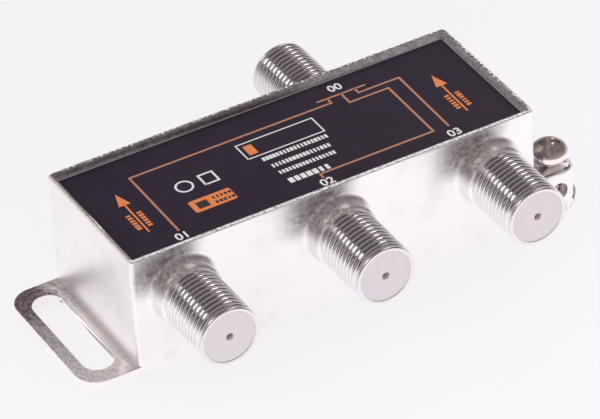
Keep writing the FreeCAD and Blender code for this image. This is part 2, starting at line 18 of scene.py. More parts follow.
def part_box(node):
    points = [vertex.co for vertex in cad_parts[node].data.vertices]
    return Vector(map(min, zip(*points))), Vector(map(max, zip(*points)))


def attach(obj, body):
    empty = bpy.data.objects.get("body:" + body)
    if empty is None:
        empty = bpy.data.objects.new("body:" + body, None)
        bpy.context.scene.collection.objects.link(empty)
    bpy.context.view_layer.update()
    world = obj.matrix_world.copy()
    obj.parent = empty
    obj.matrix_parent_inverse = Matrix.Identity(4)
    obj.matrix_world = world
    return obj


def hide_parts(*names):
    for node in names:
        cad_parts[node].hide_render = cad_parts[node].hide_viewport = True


bl_info = {
    "name": "Coaxial splitter looks",
    "version": (1, 0, 0),
    "blender": (4, 5, 0),
    "location": "View3D > Sidebar > Splitter",
    "description": "Builds the visible pieces and finishes of a coaxial splitter",
    "category": "Object",
}

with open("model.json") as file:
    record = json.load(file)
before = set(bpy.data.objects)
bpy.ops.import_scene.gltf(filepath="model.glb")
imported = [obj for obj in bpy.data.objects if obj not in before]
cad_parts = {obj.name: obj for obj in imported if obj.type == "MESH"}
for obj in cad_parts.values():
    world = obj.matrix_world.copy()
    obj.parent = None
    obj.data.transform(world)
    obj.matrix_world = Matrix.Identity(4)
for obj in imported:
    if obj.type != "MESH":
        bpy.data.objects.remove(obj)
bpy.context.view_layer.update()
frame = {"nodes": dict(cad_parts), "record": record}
NODES = frame["nodes"]
MM = 0.001

# Sizes and places that the pieces share

PORTS = ("out_left", "out_middle", "out_right", "in")
PORT_X = {name: sum(corner.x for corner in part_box("insulator_" + name)) / 2 / MM for name in PORTS}
PORT_Z = sum(corner.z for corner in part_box("insulator_in")) / 2 / MM
PORT_STEP = PORT_X["out_right"] - PORT_X["out_middle"]
FILM_X, FILM_Y, FILM_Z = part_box("label")[1] / MM
CASTING_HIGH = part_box("housing")[1]
SCREW_LOW, SCREW_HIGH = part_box("ground_screw")
BODY_X = 33.0
WALL_Y = 12.55
TOP_Z = CASTING_HIGH.z / MM
MOUTH_Y = CASTING_HIGH.y / MM
BORE = 3.6
WELD = 0.0005


# Shader and geometry graphs written as expressions

class Value:
    """An output of a node; Python's operators on it add Math nodes."""

    def __init__(self, graph, socket):
        self.graph = graph
        self.socket = socket

    def calculate(self, operation, *others):
        """A Math node on this value and others."""
        return self.graph.math(operation, self, *others)

    def __rsub__(self, other):
        return self.graph.math("SUBTRACT", other, self)

    __add__ = __radd__ = partialmethod(calculate, "ADD")
    __sub__ = partialmethod(calculate, "SUBTRACT")
    __mul__ = __rmul__ = partialmethod(calculate, "MULTIPLY")
    __truediv__ = partialmethod(calculate, "DIVIDE")
    __pow__ = partialmethod(calculate, "POWER")
    __gt__ = partialmethod(calculate, "GREATER_THAN")
    __lt__ = partialmethod(calculate, "LESS_THAN")
    __abs__ = partialmethod(calculate, "ABSOLUTE")


class Graph:
    """A node tree with short ways to add nodes and join their sockets."""

    place = None

    def __init__(self, tree):
        self.tree = tree

    def node(self, kind, settings=(), sockets=()):
        """Add a node: its settings first, then the numbers or links of its sockets."""
        made = self.tree.nodes.new(kind)
        for name, setting in dict(settings).items():
            if name != "stops":
                setattr(made, name, setting)
                continue
            ramp = made.color_ramp.elements
            while len(ramp) < len(setting):
                ramp.new(1.0)
            for element, (place, colour) in zip(ramp, setting):
                element.position, element.color = place, opaque(colour)
        for name, value in dict(sockets).items():
            if isinstance(value, Value):
                self.tree.links.new(value.socket, made.inputs[name])
            else:
                made.inputs[name].default_value = value
        return made

    def get(self, node, output=0):
        """One output of a node."""
        return Value(self, node.outputs[output])

    def make(self, kind, settings=(), sockets=(), output=0):
        """Add a node and return one of its outputs."""
        return self.get(self.node(kind, settings, sockets), output)

    def math(self, operation, *values, clamp=False):
        """A Math node on numbers or values."""
        settings = {"operation": operation, "use_clamp": clamp}
        return self.make("ShaderNodeMath", settings, dict(enumerate(values)))

    def clamp(self, value):
        """A value held between 0 and 1."""
        return self.math("MULTIPLY", value, 1.0, clamp=True)

    def length(self, x, y):
        """The length of two parts at right angles."""
        return self.math("SQRT", x * x + y * y)

    def smooth(self, value, low, high):
        """0 below low, 1 above high and an even bend between them."""
        settings = {"interpolation_type": "SMOOTHSTEP"}
        sockets = {"Value": value, "From Min": low, "From Max": high}
        return self.make("ShaderNodeMapRange", settings, sockets)

    def split(self, vector=None):
        """The three parts of a vector, or of the place."""
        parts = self.node("ShaderNodeSeparateXYZ", {}, {0: vector or self.place})
        return [self.get(parts, axis) for axis in range(3)]

    def join(self, x, y, z):
        """A vector from three values."""
        return self.make("ShaderNodeCombineXYZ", {}, {0: x, 1: y, 2: z})

    def vector(self, operation, first, second, socket=1):
        """A Vector Math node on two vectors, or with the socket Scale on a vector and a number."""
        sockets = {0: first, socket: second}
        return self.make("ShaderNodeVectorMath", {"operation": operation}, sockets)

    def scaled(self, vector, factor):
        """A vector or colour times a number."""
        return self.vector("SCALE", vector, factor, "Scale")

    def stretched(self, x, y, z):
        """The place with each part multiplied."""
        return self.vector("MULTIPLY", self.place, (x, y, z))

    def noise(self, scale, detail, roughness, place=None):
        """Soft noise about 0.5."""
        place = place or self.place
        sockets = {"Vector": place, "Scale": scale, "Detail": detail, "Roughness": roughness}
        return self.make("ShaderNodeTexNoise", {}, sockets, "Fac")

    def mix(self, factor, first, second):
        """A colour between two colours."""
        sockets = {0: factor, 6: opaque(first), 7: opaque(second)}
        return self.make("ShaderNodeMix", {"data_type": "RGBA"}, sockets, 2)

    def rays(self, *kinds):
        """For each kind of ray, 1 where the ray is one of them."""
        path = self.node("ShaderNodeLightPath")
        return [self.get(path, f"Is {kind} Ray") for kind in kinds]

    def bump(self, height, distance, normal=None):
        """A normal bent by a height of so many millimetres."""
        sockets = {"Height": height, "Distance": distance * MM, "Strength": 1.0}
        if normal is not None:
            sockets["Normal"] = normal
        return self.make("ShaderNodeBump", {}, sockets)


class Finish(Graph):
    """A material with one Principled shader, patterned on its place on the object."""

    def __init__(self, name, sockets=()):
        self.material = bpy.data.materials.new(name)
        self.material.use_nodes = True
        super().__init__(self.material.node_tree)
        self.tree.nodes.clear()
        self.shader = self.node("ShaderNodeBsdfPrincipled", {}, sockets)
        surface = {"Surface": self.get(self.shader)}
        self.output = self.node("ShaderNodeOutputMaterial", {}, surface)
        self.place = self.scaled(self.make("ShaderNodeTexCoord", output="Object"), 1 / MM)

    def feed(self, **values):
        """Link values to the shader, and return the material; roughness is held in 0 to 1."""
        for name, value in values.items():
            if name == "Roughness":
                value = self.clamp(value)
            self.tree.links.new(value.socket, self.shader.inputs[name.replace("_", " ")])
        return self.material


def opaque(colour):
    """A colour of three parts with full cover; a value stays as it is."""
    return colour if isinstance(colour, Value) else (*colour, 1.0)


def tint(colour, share):
    """A colour with each part multiplied."""
    return tuple(part * share for part in colour)


# Finishes

def thread_finish(plate):
    """Cut nickel plate: soft waves in a mirror, a fine grain, and faint stains."""
    finish = Finish("nickel_thread", {"Metallic": 1.0})
    bright = tint(plate, 0.86)
    stain = finish.noise(0.35, 4, 0.6)
    fleck = finish.noise(6.0, 3, 0.6)
    shade = finish.clamp(0.90 + 0.14 * stain + 0.05 * (fleck - 0.5))
    wave = finish.bump(finish.noise(0.22, 1, 0.4), 0.004)
    return finish.feed(
        Base_Color=finish.mix(shade, tint(bright, 0.55), bright),
        Roughness=0.16 * (0.7 + 0.6 * stain) + 0.12 * (fleck - 0.5),
        Normal=finish.bump(finish.noise(9.0, 4, 0.65), 0.0015, wave))


def screw_finish(edge):
    """The earth screw: a brown dome above a bright side; edge is the height between them."""
    finish = Finish("nickel_screw", {"Specular IOR Level": 0.5})
    dome = finish.smooth(finish.split()[2], edge - 0.15, edge + 0.2)
    cloud = finish.noise(0.9, 3, 0.6)
    # Painted shade on the upward-facing dome: a dark warm reflection of the room, cloudy
    painted_dome_shade = finish.mix(cloud, (0.37, 0.295, 0.275), (0.55, 0.465, 0.44))
    return finish.feed(
        Base_Color=finish.mix(dome, (0.93, 0.85, 0.83), painted_dome_shade),
        Metallic=1 - 0.35 * dome,
        Roughness=0.05 + 0.08 * cloud,
        Normal=finish.bump(finish.noise(0.5, 2, 0.5), 0.02))


def casting_finish(settings):
    """The casting: satin bright walls, coarse lug tops, and dark grain at the ports' feet."""
    finish = Finish("nickel_casting", {"Specular IOR Level": 0.4})
    smooth, noise, clamp = finish.smooth, finish.noise, finish.clamp
    x, y, z = finish.split()
    side, tip = abs(x), abs(y)
    plate = settings.plate_colour

    # How far a place is from the axis of its nearest port
    behind = y > 0.0
    across = x - PORT_X["in"] * behind
    across = across - PORT_STEP * (1 - behind) * finish.math("ROUND", across / PORT_STEP)
    rise = z - PORT_Z
    reach = finish.length(across, rise)

    # Painted shade and a painted reflection of each barrel round its foot, mottled and on its upper
    # side, which thins out below the port; a painted highlight lightens the collar
    foot = smooth(tip, WALL_Y - 0.25, WALL_Y - 0.05) * smooth(tip, WALL_Y + 3.45, WALL_Y + 2.65)
    flare = smooth(reach, 11.8, 6.5) * foot
    upper = smooth((rise * 0.88 - across * 0.47) / reach, 0.45, 1.0)
    blotch = smooth(noise(1.3, 4, 0.65), 0.28, 0.72)
    # Painted shade and reflection on the upper side of each foot, in blotches
    painted_foot_shade = flare * upper * (0.5 + 0.5 * blotch)
    mottle = smooth(noise(2.0, 3, 0.6), 0.4, 0.6)
    mottle = finish.mix(mottle, (0.66, 0.57, 0.55), (0.28, 0.215, 0.21))
    # Painted colour at the feet: a dark ring of painted shade past the fillet, and a lighter mottle
    # with a painted highlight on the collar
    foot_shade_and_highlight = finish.mix(smooth(reach, 5.5, 4.9), (0.18, 0.135, 0.135), mottle)

    # The lug tops: matt and pitted, with painted shade, darker outwards and to the back
    lug = finish.make("ShaderNodeAttribute", {"attribute_name": "lug_top"}, output="Fac")
    wall = 1 - lug
    pits = smooth(noise(1.9, 4, 0.7), 0.36, 0.64)
    outer = smooth(side, BODY_X + 0.2, BODY_X + 5.0) * (0.36 + 0.02 * (y + 8))
    shade = clamp(pits * 0.42 + 0.86 - outer - 0.34 * smooth(y, 1.0, 9.0))
    matt = finish.mix(shade, (0.15, 0.105, 0.115), (0.95, 0.86, 0.85))

    # The plate, with painted shade on the recess walls at the back and right, and the clean mouths
    stain = noise(0.12, 3, 0.5)
    patch = smooth(noise(0.22, 2, 0.5), 0.5, 0.8)
    even = clamp(1.0 - 0.16 * patch - 0.12 * abs(stain - 0.5))
    bright = finish.mix(painted_foot_shade, finish.mix(even, tint(plate, 0.55), plate), foot_shade_and_highlight)
    # Painted shade on the recess walls at the back and right, in blotches
    sunk = (z > TOP_Z - 1.1) * clamp((y > WALL_Y - 1.55) + (x > BODY_X - 1.5))
    sunk = sunk * (tip < WALL_Y - 0.25) * (side < BODY_X - 0.3)
    bright = finish.mix(sunk * (0.3 + 0.5 * blotch), bright, (0.24, 0.19, 0.21))
    bright = finish.mix(smooth(tip, MOUTH_Y - 0.85, MOUTH_Y - 0.45), bright, (0.86, 0.81, 0.80))

    fleck = noise(5.0, 3, 0.6)
    level = settings.wall_roughness * (0.85 + 0.3 * stain) + 0.08 * (fleck - 0.5)
    dents = noise(0.2, 2, 0.4) + 0.9 * flare * upper * noise(1.1, 3, 0.55)
    slow = finish.bump(dents, settings.wall_wave / MM)
    grain = wall * 0.05 * noise(7.0, 3, 0.6) + lug * noise(5.0, 5, 0.7)
    # The plate is less metallic on the lug tops, under the painted shade at the feet, and on the
    # recess walls towards the right
    return finish.feed(
        Base_Color=finish.mix(lug, bright, matt),
        Metallic=1 - 0.45 * lug - 0.55 * painted_foot_shade - 0.35 * sunk * smooth(x, 0.0, 14.0),
        Roughness=wall * level + lug * (0.36 + 0.22 * pits),
        Normal=finish.bump(grain, 0.03, slow))


def rim_finish(settings):
    """The rim's burr: torn, bright along the front and left, darker at the back and right."""
    finish = Finish("nickel_burr", {"Specular IOR Level": 0.5})
    smooth, noise = finish.smooth, finish.noise
    x, y, _ = finish.split()
    front = smooth(y, 0.85 - WALL_Y, 0.55 - WALL_Y)
    left = smooth(x, 0.5 - BODY_X, 0.05 - BODY_X) * (1 - front)
    back = smooth(y, WALL_Y - 0.55, WALL_Y - 0.35)
    edge = finish.clamp(back + smooth(x, BODY_X - 0.55, BODY_X - 0.35))
    torn = smooth(noise(1.7, 4, 0.7), 0.36, 0.56)
    # Painted glints along the outer edge at the back and right
    speck = edge * smooth(noise(2.2, 3, 0.6), 0.51, 0.57)
    # Painted light: the front, the left and the glints are lit, the rest shaded
    painted_light = finish.clamp(front + left + speck)
    notch = finish.mix(painted_light, (0.20, 0.155, 0.17), (0.42, 0.36, 0.36))
    crest = finish.mix(painted_light, (0.40, 0.325, 0.355), settings.plate_colour)
    # Along the left side, a painted light of soft warm grey takes the place of the torn pattern
    return finish.feed(
        Base_Color=finish.mix(left, finish.mix(torn, notch, crest), (0.72, 0.60, 0.54)),
        Metallic=0.85 - 0.55 * painted_light - 0.25 * speck,
        Roughness=0.2 + 0.3 * torn,
        Normal=finish.bump(noise(4.0, 3, 0.6), 0.05))


def film_finish(dark):
    """The dark film: a satin print with a faint tooth."""
    finish = Finish("label_film", {"Specular IOR Level": 0.09})
    cloud = finish.noise(0.25, 3, 0.6)
    tooth = finish.noise(14.0, 2, 0.5)
    return finish.feed(
        Base_Color=finish.mix(cloud, tint(dark, 0.85), tint(dark, 1.15)),
        Roughness=0.34 + 0.1 * cloud + 0.08 * (tooth - 0.5),
        Normal=finish.bump(tooth, 0.002))


def ink_finish(name, colour, worn):
    """Screen ink on the film: a little uneven, thin in places."""
    finish = Finish(name, {"Specular IOR Level": 0.3})
    thin = finish.smooth(finish.noise(3.5, 4, 0.65), 0.35, 0.75)
    return finish.feed(
        Base_Color=finish.mix(thin * worn, colour, tint(colour, 0.55)),
        Roughness=0.42 + 0.15 * thin,
        Normal=finish.bump(finish.noise(12.0, 2, 0.5), 0.002))


def plug_finish(white):
    """White moulded plastic, slightly cloudy."""
    sockets = {"Specular IOR Level": 0.45, "Subsurface Weight": 0.15, "Subsurface Scale": 0.8 * MM}
    finish = Finish("plug_plastic", sockets)
    cloud = finish.noise(0.6, 3, 0.55)
    speck = finish.smooth(finish.noise(7.0, 2, 0.5), 0.66, 0.72)
    colour = finish.mix(cloud, tint(white, 0.95), tint(white, 1.03))
    return finish.feed(
        Base_Color=finish.mix(speck * 0.25, colour, tint(white, 0.7)),
        Roughness=0.38 + 0.12 * cloud,
        Normal=finish.bump(finish.noise(3.0, 3, 0.5), 0.006))


def sheet_steel_finish():
    """Tinned plate, drawn along X."""
    finish = Finish("tinned_sheet", {"Metallic": 1.0})
    drawn = finish.noise(1.6, 4, 0.6, finish.stretched(0.12, 5.0, 1.0))
    cloud = finish.noise(0.4, 3, 0.6)
    return finish.feed(
        Base_Color=finish.mix(cloud, (0.50, 0.49, 0.475), (0.68, 0.67, 0.65)),
        Roughness=0.24 + 0.14 * drawn + 0.1 * cloud,
        Normal=finish.bump(drawn, 0.006))


def plain_finish(name, dark, light, scale, roughness, height, sockets=()):
    """A cloudy, finely grained finish between two colours."""
    finish = Finish(name, sockets)
    cloud = finish.noise(scale, 4, 0.65)
    grain = finish.noise(scale * 8, 2, 0.5)
    return finish.feed(
        Base_Color=finish.mix(finish.smooth(cloud, 0.3, 0.7), dark, light),
        Roughness=roughness + 0.2 * (cloud - 0.5) + 0.1 * (grain - 0.5),
        Normal=finish.bump(grain, height))


def board_finish():
    """Green laminate with the copper tracks showing faintly under the mask."""
    finish = Finish("board_laminate")
    x, y, _ = finish.split()
    settings = {"feature": "DISTANCE_TO_EDGE"}
    sockets = {"Vector": finish.stretched(0.5, 0.5, 0.0), "Scale": 0.55}
    cells = finish.make("ShaderNodeTexVoronoi", settings, sockets, "Distance")
    track = finish.smooth(cells, 0.05, 0.09)
    weave = finish.math("SINE", x * 9.0) * finish.math("SINE", y * 9.0)
    return finish.feed(
        Base_Color=finish.mix(track, (0.10, 0.30, 0.13), (0.035, 0.16, 0.07)),
        Roughness=0.35 + 0.05 * weave,
        Normal=finish.bump(track * 0.6 + weave * 0.1, 0.03))


def wire_finish():
    """Enamelled wire laid in turns, seen as fine ridges."""
    finish = Finish("enamelled_wire", {"Metallic": 0.85})
    turn = finish.math("SINE", finish.split()[2] * 18.0)
    lacquer = finish.noise(2.5, 3, 0.6)
    return finish.feed(
        Base_Color=finish.mix(lacquer, (0.42, 0.13, 0.05), (0.70, 0.30, 0.13)),
        Roughness=0.28 + 0.1 * turn,
        Normal=finish.bump(turn, 0.05))


# Plain finishes: dark colour, light colour, pattern scale, roughness, grain height, sockets

PLAIN_FINISHES = {
    "contact": ("tinned_bronze", (0.50, 0.40, 0.26), (0.68, 0.60, 0.46), 1.2, 0.3, 0.004,
                {"Metallic": 1.0}),
    "ferrite": ("ferrite", (0.030, 0.030, 0.034), (0.075, 0.075, 0.08), 1.8, 0.72, 0.02),
    "capacitor": ("chip_ceramic", (0.36, 0.24, 0.15), (0.50, 0.37, 0.25), 3.0, 0.5, 0.01),
    "resistor": ("chip_film", (0.015, 0.015, 0.017), (0.04, 0.04, 0.045), 3.0, 0.45, 0.008),
    "diode": ("moulded_case", (0.02, 0.02, 0.022), (0.05, 0.05, 0.053), 2.0, 0.6, 0.01),
}
REPLACED_SLOTS = ("housing", "screw")


def slot_finishes(settings):
    """One finish for each material slot whose nodes keep their CAD meshes."""
    finishes = {
        "label": film_finish(settings.film_colour),
        "cover": sheet_steel_finish(),
        "insulator": plug_finish(settings.plug_colour),
        "board": board_finish(),
        "copper": wire_finish(),
    }
    for slot, look in PLAIN_FINISHES.items():
        finishes[slot] = plain_finish(*look)
    return finishes


# Meshes

def placed(name, data):
    """A new object of the scene."""
    made = bpy.data.objects.new(name, data)
    bpy.context.scene.collection.objects.link(made)
    return made


def plain_mesh(carrier):
    """What an object and its modifiers show, as a plain mesh; the object is removed."""
    evaluated = carrier.evaluated_get(bpy.context.evaluated_depsgraph_get())
    made = bpy.data.meshes.new_from_object(evaluated)
    if not made.polygons:
        raise RuntimeError(carrier.name + " came out empty")
    carrier.modifiers.clear()
    bpy.data.objects.remove(carrier)
    return made


def add_piece(name, mesh, finish=None, body="casing", replaces=(), smooth_below=None):
    """Link a mesh that lies in place as a piece of a body; without a finish it keeps its own."""
    if smooth_below is not None:
        mesh = even_shading(mesh, smooth_below)
    mesh.name = name
    if finish:
        mesh.materials.clear()
        mesh.materials.append(finish)
    piece = placed(name, mesh)
    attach(piece, body)
    if replaces:
        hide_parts(*replaces)


def even_shading(mesh, smooth_below):
    """Smooth shading that keeps flat faces flat, with edges above an angle kept sharp."""
    mesh.shade_smooth()
    mesh.set_sharp_from_angle(angle=math.radians(smooth_below))
    carrier = placed("shading", mesh)
    weighted = carrier.modifiers.new("weighted", "WEIGHTED_NORMAL")
    weighted.keep_sharp = True
    weighted.weight = 100
    return plain_mesh(carrier)


def mesh_from(work, name):
    """A mesh from edited geometry, its doubles merged and its faces turned outwards."""
    bmesh.ops.remove_doubles(work, verts=work.verts, dist=WELD * MM)
    bmesh.ops.recalc_face_normals(work, faces=work.faces)
    mesh = bpy.data.meshes.new(name)
    work.to_mesh(mesh)
    work.free()
    return mesh


def welded(mesh):
    """A mesh with its doubles merged and its faces turned outwards."""
    work = bmesh.new()
    work.from_mesh(mesh)
    return mesh_from(work, mesh.name)


def new_ring(work, points, height):
    """Vertices at points (x, y), all at one height."""
    return [work.verts.new((x * MM, y * MM, height * MM)) for x, y in points]


def join_rings(work, low, high):
    """Faces from ring to ring; a ring may be one vertex many times."""
    for step, corner in enumerate(low):
        after = (step + 1) % len(low)
        corners = list(dict.fromkeys([corner, low[after], high[after], high[step]]))
        if len(corners) > 2:
            work.faces.new(corners)


def raise_outline(work, outline, low, high):
    """A closed block over an outline, between two heights."""
    rings = [new_ring(work, outline, height) for height in (low, high)]
    work.faces.new(reversed(rings[0]))
    work.faces.new(rings[1])
    join_rings(work, *rings)


def spin_closed(profile, segments):
    """A closed ring about Z from a closed profile of (radius, height)."""
    work = bmesh.new()
    turns = [2 * math.pi * step / segments for step in range(segments)]
    rings = []
    for radius, height in profile:
        if radius == 0:
            rings.append(new_ring(work, [(0, 0)], height) * segments)
        else:
            points = [(radius * math.cos(turn), radius * math.sin(turn)) for turn in turns]
            rings.append(new_ring(work, points, height))
    for low, high in zip(rings, rings[1:] + rings[:1]):
        join_rings(work, low, high)
    return work


def bend(start, stop, steps, centre, radii):
    """Points of an arc, angles in degrees."""
    angles = [math.radians(start + (stop - start) * step / steps) for step in range(steps + 1)]
    return [
        (centre[0] + radii[0] * math.cos(angle), centre[1] + radii[1] * math.sin(angle))
        for angle in angles
    ]


def port_matrix(name):
    """Where a port's own axes stand: +Z out of the port from the wall's face."""
    low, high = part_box("insulator_" + name)
    side = -1 if high.y < 0 else 1
    centre = Vector(((low.x + high.x) / 2, side * WALL_Y * MM, (low.z + high.z) / 2))
    return Matrix.Translation(centre) @ Matrix.Rotation(math.radians(90 * -side), 4, "X")


def barrel_profile(start, end):
    """A barrel's outline (radius, height) from the wall's face; its thread covers start to end."""
    foot, flange, fillet, proud = 6.0, 7.5, 0.95, 0.003
    collar, collar_end, neck, nose = 5.05, 2.75, 4.20, 4.66
    lip, mouth, mouth_depth, tip = 4.08, 4.38, 0.7, MOUTH_Y - WALL_Y
    inside = [(BORE, -1.8), (flange - 0.6, -0.6), (flange, proud)]
    curve = bend(270, 180, 12, (foot, fillet + proud), (foot - collar, fillet))
    return inside + curve + [
        (collar, collar_end - 0.25),
        (collar - 0.12, collar_end - 0.05),
        (neck + 0.1, start + 0.15),
        (neck, start + 0.5),
        (neck, end - 0.3),
        (nose - 0.06, end - 0.05),
        (nose, end + 0.05),
        (nose, tip - 0.12),
        (nose - 0.06, tip - 0.03),
        (nose - 0.14, tip),
        (lip + 0.16, tip),
        (lip + 0.05, tip - 0.03),
        (lip, tip - 0.09),
        (mouth, tip - 0.09),
        (mouth, tip - mouth_depth),
        (BORE, tip - mouth_depth),
    ]


# Geometry node trees

def new_tree(name, sizes, counts):
    """A geometry tree with named inputs; returns its graph and its inputs by name."""
    tree = bpy.data.node_groups.new(name, "GeometryNodeTree")
    kinds = {"Geometry": "Geometry", **dict.fromkeys(sizes, "Float"),
             **dict.fromkeys(counts, "Int"), "Finish": "Material"}
    for label, kind in kinds.items():
        tree.interface.new_socket(label, in_out="INPUT", socket_type="NodeSocket" + kind)
    tree.interface.new_socket("Geometry", in_out="OUTPUT", socket_type="NodeSocketGeometry")
    graph = Graph(tree)
    entry = graph.node("NodeGroupInput")
    return graph, {label: graph.get(entry, label) for label in kinds}


def close_tree(graph, geometry, finish):
    """Realise the geometry, give it its finish, send it out and return the tree."""
    real = graph.make("GeometryNodeRealizeInstances", {}, {"Geometry": geometry})
    done = graph.make("GeometryNodeSetMaterial", {}, {"Geometry": real, "Material": finish})
    graph.node("NodeGroupOutput", {}, {"Geometry": done})
    return graph.tree


def run_tree(tree, name, values, source=None):
    """Run a tree on a mesh, and return what it makes as a plain mesh."""
    carrier = placed(name + "_carrier", source or bpy.data.meshes.new(name + "_source"))
    modifier = carrier.modifiers.new("tree", "NODES")
    modifier.node_group = tree
    for item in tree.interface.items_tree:
        if item.in_out == "INPUT" and item.name in values:
            modifier[item.identifier] = values[item.name]
    return plain_mesh(carrier)


def thread_tree():
    """A closed sleeve about Z whose outside is a thread that fades in and out at its ends."""
    sizes = ("Start", "End", "Pitch", "Crest", "Root", "Bore", "Fade", "Wobble")
    graph, given = new_tree("thread_sleeve", sizes, ("Around", "Along"))
    around, along, start, end = (given[name] for name in ("Around", "Along", "Start", "End"))

    # A grid whose first and last rows become the bore, and the rows between the thread
    sockets = {"Size X": 1.0, "Size Y": 1.0, "Vertices X": around + 1, "Vertices Y": along + 4}
    grid = graph.make("GeometryNodeMeshGrid", {}, sockets)
    x, y, _ = graph.split(graph.make("GeometryNodeInputPosition"))
    turn = x + 0.5
    row = graph.math("ROUND", (y + 0.5) * (along + 3))
    outside = (row > 0.5) * (row < along + 1.5)
    back = row > along + 2.5
    height = start + (end - start) * graph.clamp((row - 1) / along) * (1 - back)

    # The ridge: a flat crest between flanks, on a phase that is kept above zero
    flank, flank_power, whole_turns = 0.33, 1.25, 64.0
    phase = graph.math("FRACT", (height - start) / given["Pitch"] - turn + whole_turns)
    deep = 1 - graph.clamp((0.5 - abs(phase - 0.5)) / flank)
    ridge = 1 - deep ** flank_power
    fade_in = graph.smooth(height - start, 0.0, given["Fade"])
    fade_out = graph.smooth(end - height, 0.0, given["Fade"])
    angle = turn * (2 * math.pi)
    ahead, aside = graph.math("COSINE", angle), graph.math("SINE", angle)
    wobble = graph.noise(0.9, 2, 0.5, graph.join(ahead * 3.0, aside * 3.0, height / MM)) - 0.5
    radius = given["Root"] + (given["Crest"] - given["Root"]) * ridge * fade_in * fade_out
    radius = radius + wobble * given["Wobble"]
    radius = given["Bore"] * (1 - outside) + radius * outside
    spun = graph.join(radius * ahead, radius * aside, height)
    moved = graph.make("GeometryNodeSetPosition", {}, {"Geometry": grid, "Position": spun})
    sockets = {"Geometry": moved, "Distance": WELD * MM}
    whole = graph.make("GeometryNodeMergeByDistance", {}, sockets)
    return close_tree(graph, whole, given["Finish"])


def cut_thread(tree, name, place, finish, values, body="casing"):
    """A threaded sleeve moved to its place, as a piece."""
    thread = run_tree(tree, name, {**values, "Finish": finish})
    thread.transform(place)
    add_piece(name, welded(thread), finish, body, smooth_below=60)


def burr_tree():
    """A low torn bead along a closed path of edges, less torn at the back and right."""
    sizes = ("Step", "Width", "Height", "Tear", "Back tear", "Seed")
    graph, given = new_tree("rim_burr", sizes, ())
    curve = graph.make("GeometryNodeMeshToCurve", {}, {"Mesh": given["Geometry"]})
    sockets = {"Curve": curve, "Length": given["Step"]}
    even = graph.make("GeometryNodeResampleCurve", {"mode": "LENGTH"}, sockets)
    sockets = {"Resolution": 10, "Radius": 0.5}
    circle = graph.make("GeometryNodeCurvePrimitiveCircle", {}, sockets, "Curve")
    sockets = {"Geometry": circle, "Scale": graph.join(given["Width"], given["Height"], 1.0)}
    flat = graph.make("GeometryNodeTransform", {}, sockets)
    bead = graph.make("GeometryNodeCurveToMesh", {}, {"Curve": even, "Profile Curve": flat})
    place = graph.scaled(graph.make("GeometryNodeInputPosition"), 1 / MM)
    sockets = {"Vector": place, "W": given["Seed"], "Scale": 1.3, "Detail": 4.0, "Roughness": 0.7}
    coarse = graph.make("ShaderNodeTexNoise", {"noise_dimensions": "4D"}, sockets, "Color")
    centred = graph.vector("SUBTRACT", coarse, (0.5, 0.5, 0.5))
    x, y, _ = graph.split(place)
    back = graph.clamp((y > WALL_Y - 0.6) + (x > BODY_X - 0.6))
    tear = given["Tear"] + (given["Back tear"] - given["Tear"]) * back
    sockets = {"Geometry": bead, "Offset": graph.scaled(centred, tear)}
    torn = graph.make("GeometryNodeSetPosition", {}, sockets)
    return close_tree(graph, torn, given["Finish"])


def dash_tree():
    """Rows of short flat dashes of uneven length, centred on the origin."""
    sizes = ("Row step", "Column step", "Dash height", "Thickness")
    graph, given = new_tree("dash_rows", sizes, ("Rows", "Columns", "Seed"))
    rows, columns = given["Rows"], given["Columns"]
    sockets = {"Size X": given["Column step"] * (columns - 1),
               "Size Y": given["Row step"] * (rows - 1),
               "Vertices X": columns, "Vertices Y": rows}
    grid = graph.make("GeometryNodeMeshGrid", {}, sockets)
    points = graph.make("GeometryNodeMeshToPoints", {}, {"Mesh": grid})
    size = graph.join(given["Column step"], given["Dash height"], given["Thickness"])
    dash = graph.make("GeometryNodeMeshCube", {}, {"Size": size})
    spread = graph.node("FunctionNodeRandomValue", {"data_type": "FLOAT"}, {"Seed": given["Seed"]})
    limits = [socket for socket in spread.inputs if socket.enabled][:2]
    limits[0].default_value, limits[1].default_value = 0.45, 0.86
    width = Value(graph, next(socket for socket in spread.outputs if socket.enabled))
    sockets = {"Points": points, "Instance": dash, "Scale": graph.join(width, 1.0, 1.0)}
    dashes = graph.make("GeometryNodeInstanceOnPoints", {}, sockets)
    return close_tree(graph, dashes, given["Finish"])


# Flat print, whose tables and outlines are (x, y) on the film

SINK = 0.004
MARK_LIFT = 0.006
CIRCUIT = (
    [(8.6, 7.7), (16.7, 7.7)],
    [(10.3, 7.7), (10.3, 6.44), (-23.0, 6.44), (-23.05, -8.4)],
    [(12.6, 7.7), (12.6, 5.1), (19.1, 5.1), (19.0, -7.75), (0.2, -7.75), (0.2, -8.8)],
    [(14.9, 7.7), (14.9, 6.5), (21.7, 6.5), (21.5, -7.9)],
)
ARROWS = (((-26.65, -6.3), (-26.56, 4.1)), ((25.75, -6.1), (25.9, 4.3)))
NUMBERS = {"00": (12.6, 9.45), "01": (-23.2, -9.75), "02": (0.2, -9.9), "03": (21.4, -9.7)}
BLANK_PLATE = [(-6.6, 1.0), (6.0, 1.0), (6.0, 4.8), (-6.6, 4.8), (-6.6, 0.89)]
SQUARE = [(-14.6, -0.9), (-12.4, -0.9), (-12.4, 1.5), (-14.6, 1.5), (-14.6, -1.06)]
PLATE_MARK = [(-18.1, -5.6), (-16.3, -5.6), (-16.3, -4.0), (-18.1, -4.0)]

